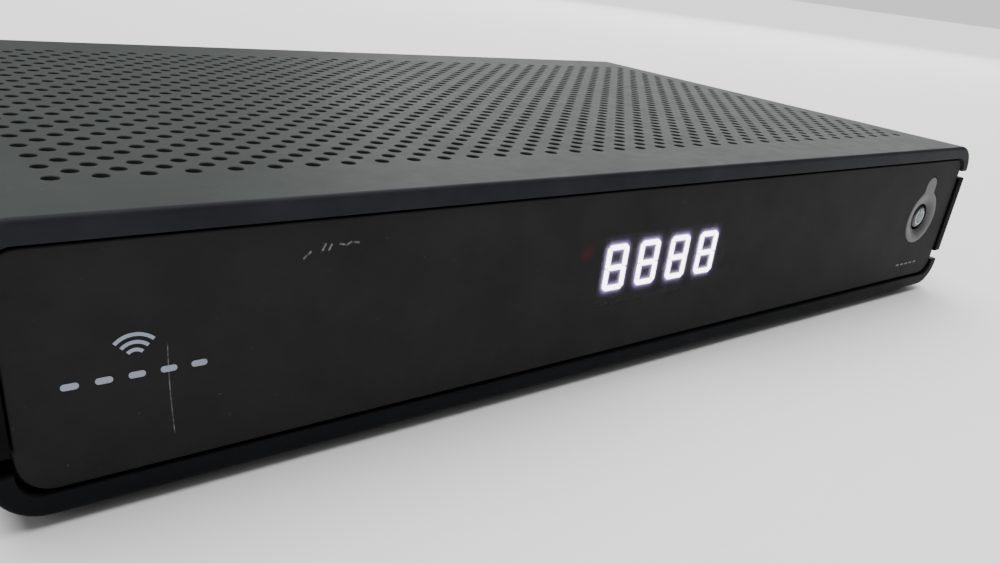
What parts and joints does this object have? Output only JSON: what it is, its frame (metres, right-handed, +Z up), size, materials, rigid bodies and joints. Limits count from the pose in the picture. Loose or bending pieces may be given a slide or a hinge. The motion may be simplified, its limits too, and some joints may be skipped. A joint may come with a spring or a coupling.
{
  "type": "cable modem",
  "caption": "Flat set-top cable gateway: perforated top shell, dark front fascia with digit display and power key, rear coax, network, video and power sockets.",
  "frame": {"origin": "on the resting surface under the middle of the outer box, rear coax barrel included", "axes": "+X to the right seen from the front, +Y to the back, +Z up"},
  "size_m": [0.27, 0.1664, 0.0465],
  "materials": {
    "top_shell": "satin",
    "base_shell": "satin",
    "side_rail": "satin",
    "fascia": "satin",
    "print_light": "matte",
    "print_dim": "matte",
    "trim": "satin",
    "button": "satin",
    "icon": "satin",
    "rubber_black": "matte",
    "label_stock": "matte",
    "screw_black": "satin",
    "screw_zinc": "satin",
    "display_black": "matte",
    "segment": "matte",
    "light_red": "gloss",
    "circuit_board": "satin",
    "chip_black": "matte",
    "plunger_red": "matte",
    "ribbon": "satin",
    "socket": "matte",
    "pad_blue": "matte",
    "sink": "satin",
    "pin_nylon": "matte",
    "can_steel": "satin",
    "capacitor": "satin",
    "panel": "satin",
    "connector_metal": "satin",
    "insulator": "matte",
    "contact_gold": "satin",
    "connector_black": "matte",
    "lamp": "gloss"
  },
  "bodies": {
    "case": {"top_cover": "top_shell", "base_tray": "base_shell", "side_rail_left": "side_rail", "side_rail_right": "side_rail", "case_screws": "screw_black", "rubber_feet": "rubber_black", "bottom_label": "label_stock", "front_fascia": "fascia", "fascia_emblem": "print_light", "fascia_print": "print_dim", "keyhole_trim": "trim", "display_housing": "display_black", "display_segments": "segment", "status_light": "light_red", "infrared_receiver": "chip_black", "front_board": "circuit_board", "front_board_screws": "screw_zinc", "power_switch": "chip_black", "ribbon_cable": "ribbon", "ribbon_sockets": "socket", "main_board": "circuit_board", "main_board_screws": "screw_zinc", "processor": "chip_black", "thermal_pad": "pad_blue", "heat_sink": "sink", "heat_sink_pins": "pin_nylon", "memory_chips": "chip_black", "flash_chip": "chip_black", "crystal": "can_steel", "tuner_shield": "can_steel", "tuner_chip": "chip_black", "capacitors": "capacitor", "inductors": "chip_black", "rear_panel": "panel", "coax_connector": "connector_metal", "coax_insulator": "insulator", "coax_contact": "contact_gold", "coax_washer": "connector_metal", "coax_nut": "connector_metal", "ethernet_jack": "connector_black", "ethernet_contacts": "contact_gold", "ethernet_lights": "lamp", "video_port": "connector_metal", "video_tongue": "connector_black", "data_port": "connector_metal", "data_tongue": "connector_black", "optical_port": "connector_black", "optical_emitter": "light_red", "audio_jack": "connector_black", "reset_switch": "chip_black", "power_inlet": "connector_black", "power_inlet_pin": "connector_metal"},
    "power_key": {"power_button": "button", "power_icon": "icon"},
    "plunger": {"switch_plunger": "plunger_red"},
    "shutter": {"optical_shutter": "connector_black"},
    "reset_key": {"reset_button": "plunger_red"}
  },
  "joints": [
    {"name": "power_press", "type": "slide", "parent": "case", "child": "power_key", "axis": [0, 1, 0], "range_m": [0, 0.0005], "stiffness_N_per_m": 3000},
    {"name": "switch_press", "type": "slide", "parent": "case", "child": "plunger", "axis": [0, 1, 0], "range_m": [0, 0.0005]},
    {"name": "shutter_swing", "type": "hinge", "parent": "case", "child": "shutter", "pos_m": [0.018, 0.0732, 0.02075], "axis": [-1, 0, 0], "range_deg": [0, 80], "stiffness_Nm_per_rad": 0.0002},
    {"name": "reset_press", "type": "slide", "parent": "case", "child": "reset_key", "axis": [0, -1, 0], "range_m": [0, 0.0003], "stiffness_N_per_m": 1500}
  ],
  "couplings": [
    {"joint": "switch_press", "follows": "power_press", "ratio": 1}
  ]
}
